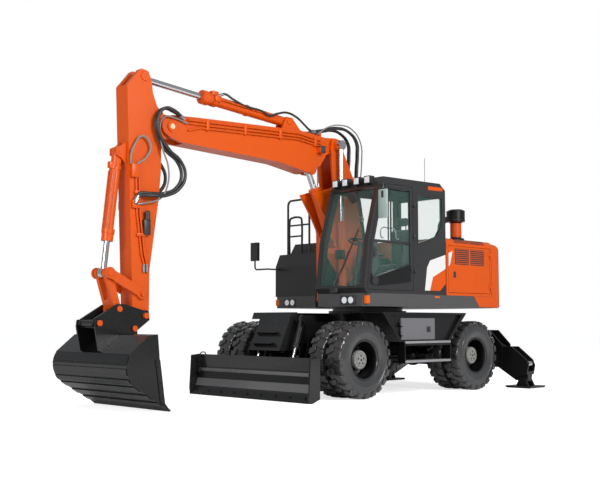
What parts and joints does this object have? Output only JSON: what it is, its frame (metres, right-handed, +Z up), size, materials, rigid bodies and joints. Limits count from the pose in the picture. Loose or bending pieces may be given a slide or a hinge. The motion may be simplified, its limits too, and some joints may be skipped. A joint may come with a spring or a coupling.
{
  "type": "wheeled excavator",
  "caption": "Wheeled excavator with a two-piece boom, arm, bucket, slewing cab deck, twin wheels, front blade and rear outriggers.",
  "frame": {"origin": "on the ground, under the slewing axis", "axes": "+X towards the blade and the boom, +Y to the machine's left, where the cab is, +Z up"},
  "size_m": [7.36, 3.318, 4.1733],
  "materials": {
    "orange_paint": "satin orange paint on steel",
    "grey_paint": "satin dark grey paint on steel",
    "pale_paint": "satin pale grey paint on sheet steel",
    "black_paint": "semi-gloss black chassis paint on steel",
    "chrome_rod": "hard chrome on steel rod",
    "tyre_rubber": "black tyre rubber",
    "cab_glass": "lightly tinted safety glass",
    "seat_fabric": "black woven seat cloth",
    "black_plastic": "grained black plastic",
    "engine_iron": "painted cast iron"
  },
  "bodies": {
    "chassis": {"chassis_frame": "black_paint", "driveline": "black_paint", "front_axle": "black_paint", "rear_axle": "black_paint", "side_console_left": "pale_paint", "side_console_right": "pale_paint", "front_step_box": "black_paint"},
    "toolbox_door": {"toolbox_door_left": "pale_paint"},
    "steer_left": {"knuckle_left": "black_paint"},
    "steer_right": {"knuckle_right": "black_paint"},
    "wheel_front_left": {"tyres_front_left": "tyre_rubber", "rims_front_left": "black_paint"},
    "wheel_front_right": {"tyres_front_right": "tyre_rubber", "rims_front_right": "black_paint"},
    "wheel_rear_left": {"tyres_rear_left": "tyre_rubber", "rims_rear_left": "black_paint"},
    "wheel_rear_right": {"tyres_rear_right": "tyre_rubber", "rims_rear_right": "black_paint"},
    "blade": {"blade": "black_paint"},
    "blade_barrels": {"blade_cylinder_barrels": "black_paint"},
    "blade_rods": {"blade_cylinder_rods": "chrome_rod"},
    "leg_left": {"outrigger_leg_left": "black_paint"},
    "pad_left": {"outrigger_pad_left": "black_paint"},
    "leg_barrel_left": {"outrigger_barrel_left": "black_paint"},
    "leg_rod_left": {"outrigger_rod_left": "chrome_rod"},
    "leg_right": {"outrigger_leg_right": "black_paint"},
    "pad_right": {"outrigger_pad_right": "black_paint"},
    "leg_barrel_right": {"outrigger_barrel_right": "black_paint"},
    "leg_rod_right": {"outrigger_rod_right": "chrome_rod"},
    "upper": {"upper_frame": "grey_paint", "counterweight": "orange_paint", "engine_housing": "orange_paint", "engine": "engine_iron", "tank_housing": "grey_paint", "cab_shell": "grey_paint", "cab_glass": "cab_glass", "seat": "seat_fabric", "cab_controls": "black_plastic", "handrails_and_mirror": "pale_paint", "intake_and_exhaust": "black_paint"},
    "cab_door": {"cab_door": "grey_paint", "door_glass": "cab_glass"},
    "engine_door_left": {"engine_door_left": "orange_paint"},
    "engine_door_right": {"engine_door_right": "orange_paint"},
    "hood": {"hood_lid": "orange_paint"},
    "base_boom": {"base_boom": "orange_paint"},
    "lift_barrels": {"lift_cylinder_barrels": "orange_paint"},
    "lift_rods": {"lift_cylinder_rods": "chrome_rod"},
    "front_boom": {"front_boom": "orange_paint"},
    "position_barrel": {"positioning_barrel": "orange_paint"},
    "position_rod": {"positioning_rod": "chrome_rod"},
    "arm_barrel": {"arm_cylinder_barrel": "orange_paint"},
    "arm_rod": {"arm_cylinder_rod": "chrome_rod"},
    "arm": {"arm": "orange_paint"},
    "idler": {"idler_links": "orange_paint"},
    "link": {"bucket_link": "orange_paint"},
    "bucket_barrel": {"bucket_cylinder_barrel": "orange_paint"},
    "bucket_rod": {"bucket_cylinder_rod": "chrome_rod"},
    "bucket": {"coupler": "black_paint", "bucket": "black_paint"}
  },
  "joints": [
    {"name": "toolbox_door", "type": "hinge", "parent": "chassis", "child": "toolbox_door", "pos_m": [0.665, 1.231, 0.937], "axis": [0, 0, -1], "range_deg": [0, 100]},
    {"name": "steer_left", "type": "hinge", "parent": "chassis", "child": "steer_left", "pos_m": [1.45, 0.72, 0.526], "axis": [0, 0, 1], "range_deg": [-25, 25]},
    {"name": "steer_right", "type": "hinge", "parent": "chassis", "child": "steer_right", "pos_m": [1.45, -0.72, 0.526], "axis": [0, 0, 1], "range_deg": [-25, 25]},
    {"name": "wheel_front_left", "type": "hinge", "parent": "steer_left", "child": "wheel_front_left", "pos_m": [1.45, 0.95, 0.526], "axis": [0, 1, 0], "continuous": true},
    {"name": "wheel_front_right", "type": "hinge", "parent": "steer_right", "child": "wheel_front_right", "pos_m": [1.45, -0.95, 0.526], "axis": [0, 1, 0], "continuous": true},
    {"name": "wheel_rear_left", "type": "hinge", "parent": "chassis", "child": "wheel_rear_left", "pos_m": [-1.1, 0.95, 0.526], "axis": [0, 1, 0], "continuous": true},
    {"name": "wheel_rear_right", "type": "hinge", "parent": "chassis", "child": "wheel_rear_right", "pos_m": [-1.1, -0.95, 0.526], "axis": [0, 1, 0], "continuous": true},
    {"name": "blade_lift", "type": "hinge", "parent": "chassis", "child": "blade", "pos_m": [1.72, 0, 0.4], "axis": [0, -1, 0], "range_deg": [-8, 28]},
    {"name": "blade_cylinder_swing", "type": "hinge", "parent": "chassis", "child": "blade_barrels", "pos_m": [1.76, 0, 1.085], "axis": [0, -1, 0], "range_deg": [-3.83, 1.24]},
    {"name": "blade_cylinder_slide", "type": "slide", "parent": "blade_barrels", "child": "blade_rods", "axis": [0.3089, 0, -0.9511], "range_m": [-0.118, 0.035]},
    {"name": "leg_left", "type": "hinge", "parent": "chassis", "child": "leg_left", "pos_m": [-2.15, 0.955, 0.425], "axis": [1, 0, 0], "range_deg": [-8, 65]},
    {"name": "pad_left", "type": "hinge", "parent": "leg_left", "child": "pad_left", "pos_m": [-2.15, 1.434, 0.13], "axis": [1, 0, 0], "range_deg": [-20, 20]},
    {"name": "leg_cylinder_left_swing", "type": "hinge", "parent": "chassis", "child": "leg_barrel_left", "pos_m": [-2.15, 0.66, 0.82], "axis": [1, 0, 0], "range_deg": [-4.5, 35.17]},
    {"name": "leg_cylinder_left_slide", "type": "slide", "parent": "leg_barrel_left", "child": "leg_rod_left", "axis": [0, 0.8823, -0.4708], "range_m": [-0.344, 0.044]},
    {"name": "leg_right", "type": "hinge", "parent": "chassis", "child": "leg_right", "pos_m": [-2.15, -0.955, 0.425], "axis": [-1, 0, 0], "range_deg": [-8, 65]},
    {"name": "pad_right", "type": "hinge", "parent": "leg_right", "child": "pad_right", "pos_m": [-2.15, -1.434, 0.13], "axis": [-1, 0, 0], "range_deg": [-20, 20]},
    {"name": "leg_cylinder_right_swing", "type": "hinge", "parent": "chassis", "child": "leg_barrel_right", "pos_m": [-2.15, -0.66, 0.82], "axis": [-1, 0, 0], "range_deg": [-4.5, 35.17]},
    {"name": "leg_cylinder_right_slide", "type": "slide", "parent": "leg_barrel_right", "child": "leg_rod_right", "axis": [0, -0.8823, -0.4708], "range_m": [-0.344, 0.044]},
    {"name": "slew", "type": "hinge", "parent": "chassis", "child": "upper", "pos_m": [0, 0, 1.205], "axis": [0, 0, 1], "continuous": true},
    {"name": "cab_door", "type": "hinge", "parent": "upper", "child": "cab_door", "pos_m": [0.375, 1.251, 2.2], "axis": [0, 0, 1], "range_deg": [0, 165]},
    {"name": "engine_door_left", "type": "hinge", "parent": "upper", "child": "engine_door_left", "pos_m": [-1.5, 1.256, 1.825], "axis": [0, 0, 1], "range_deg": [0, 110]},
    {"name": "engine_door_right", "type": "hinge", "parent": "upper", "child": "engine_door_right", "pos_m": [-1.5, -1.256, 1.825], "axis": [0, 0, -1], "range_deg": [0, 110]},
    {"name": "hood", "type": "hinge", "parent": "upper", "child": "hood", "pos_m": [-1.38, -0.1, 2.306], "axis": [0, -1, 0], "range_deg": [0, 70]},
    {"name": "boom_lift", "type": "hinge", "parent": "upper", "child": "base_boom", "pos_m": [0.28, 0, 1.75], "axis": [0, -1, 0], "range_deg": [-55, 8]},
    {"name": "lift_cylinder_swing", "type": "hinge", "parent": "upper", "child": "lift_barrels", "pos_m": [0.8, 0, 1.38], "axis": [0, -1, 0], "range_deg": [-50.84, 7.57]},
    {"name": "lift_cylinder_slide", "type": "slide", "parent": "lift_barrels", "child": "lift_rods", "axis": [0.0132, 0, 0.9999], "range_m": [-0.576, 0.085]},
    {"name": "boom_fold", "type": "hinge", "parent": "base_boom", "child": "front_boom", "pos_m": [0.83, 0, 3.66], "axis": [0, 1, 0], "range_deg": [-36, 18]},
    {"name": "positioning_cylinder_swing", "type": "hinge", "parent": "base_boom", "child": "position_barrel", "pos_m": [0.85, 0, 2.33], "axis": [0, 1, 0], "range_deg": [-0.87, 1.54]},
    {"name": "positioning_cylinder_slide", "type": "slide", "parent": "position_barrel", "child": "position_rod", "axis": [0.4356, 0, 0.9002], "range_m": [-0.191, 0.381]},
    {"name": "arm_swing", "type": "hinge", "parent": "front_boom", "child": "arm", "pos_m": [3.86, 0, 3.51], "axis": [0, -1, 0], "range_deg": [-27, 70]},
    {"name": "arm_cylinder_swing", "type": "hinge", "parent": "front_boom", "child": "arm_barrel", "pos_m": [1.75, 0, 3.9], "axis": [0, -1, 0], "range_deg": [-2.47, 6.08]},
    {"name": "arm_cylinder_slide", "type": "slide", "parent": "arm_barrel", "child": "arm_rod", "axis": [0.9972, 0, 0.0752], "range_m": [-0.79, 0.306]},
    {"name": "bucket_curl", "type": "hinge", "parent": "arm", "child": "bucket", "pos_m": [4.25, 0, 1.11], "axis": [0, 1, 0], "range_deg": [-32, 110]},
    {"name": "idler_swing", "type": "hinge", "parent": "arm", "child": "idler", "pos_m": [4.29, 0, 1.38], "axis": [0, 1, 0], "range_deg": [-25.07, 85.7]},
    {"name": "link_swing", "type": "hinge", "parent": "idler", "child": "link", "pos_m": [4.75, 0, 1.62], "axis": [0, 1, 0], "range_deg": [-46.61, 13.7]},
    {"name": "bucket_cylinder_swing", "type": "hinge", "parent": "arm", "child": "bucket_barrel", "pos_m": [4.58, 0, 3.11], "axis": [0, 1, 0], "range_deg": [-1.15, 3.45]},
    {"name": "bucket_cylinder_slide", "type": "slide", "parent": "bucket_barrel", "child": "bucket_rod", "axis": [0.1134, 0, -0.9936], "range_m": [-0.209, 0.716]}
  ],
  "couplings": [
    {"joint": "steer_right", "follows": "steer_left", "ratio": 1},
    {"joint": "blade_cylinder_swing", "follows": "blade_lift", "ratio": -0.12964},
    {"joint": "blade_cylinder_slide", "follows": "blade_lift", "m_per_rad": -0.23755},
    {"joint": "leg_cylinder_left_swing", "follows": "leg_left", "ratio": 0.53807},
    {"joint": "leg_cylinder_left_slide", "follows": "leg_left", "m_per_rad": -0.30216},
    {"joint": "leg_cylinder_right_swing", "follows": "leg_right", "ratio": 0.53807},
    {"joint": "leg_cylinder_right_slide", "follows": "leg_right", "m_per_rad": -0.30216},
    {"joint": "lift_cylinder_swing", "follows": "boom_lift", "ratio": 0.92079},
    {"joint": "lift_cylinder_slide", "follows": "boom_lift", "m_per_rad": 0.59822},
    {"joint": "positioning_cylinder_swing", "follows": "boom_fold", "ratio": -0.03709},
    {"joint": "positioning_cylinder_slide", "follows": "boom_fold", "m_per_rad": -0.60458},
    {"joint": "arm_cylinder_swing", "follows": "arm_swing", "ratio": 0.08397},
    {"joint": "arm_cylinder_slide", "follows": "arm_swing", "m_per_rad": -0.64512},
    {"joint": "idler_swing", "follows": "bucket_curl", "ratio": 0.77728},
    {"joint": "link_swing", "follows": "bucket_curl", "ratio": -0.42193},
    {"joint": "bucket_cylinder_swing", "follows": "bucket_curl", "ratio": 0.02952},
    {"joint": "bucket_cylinder_slide", "follows": "bucket_curl", "m_per_rad": 0.37193}
  ]
}
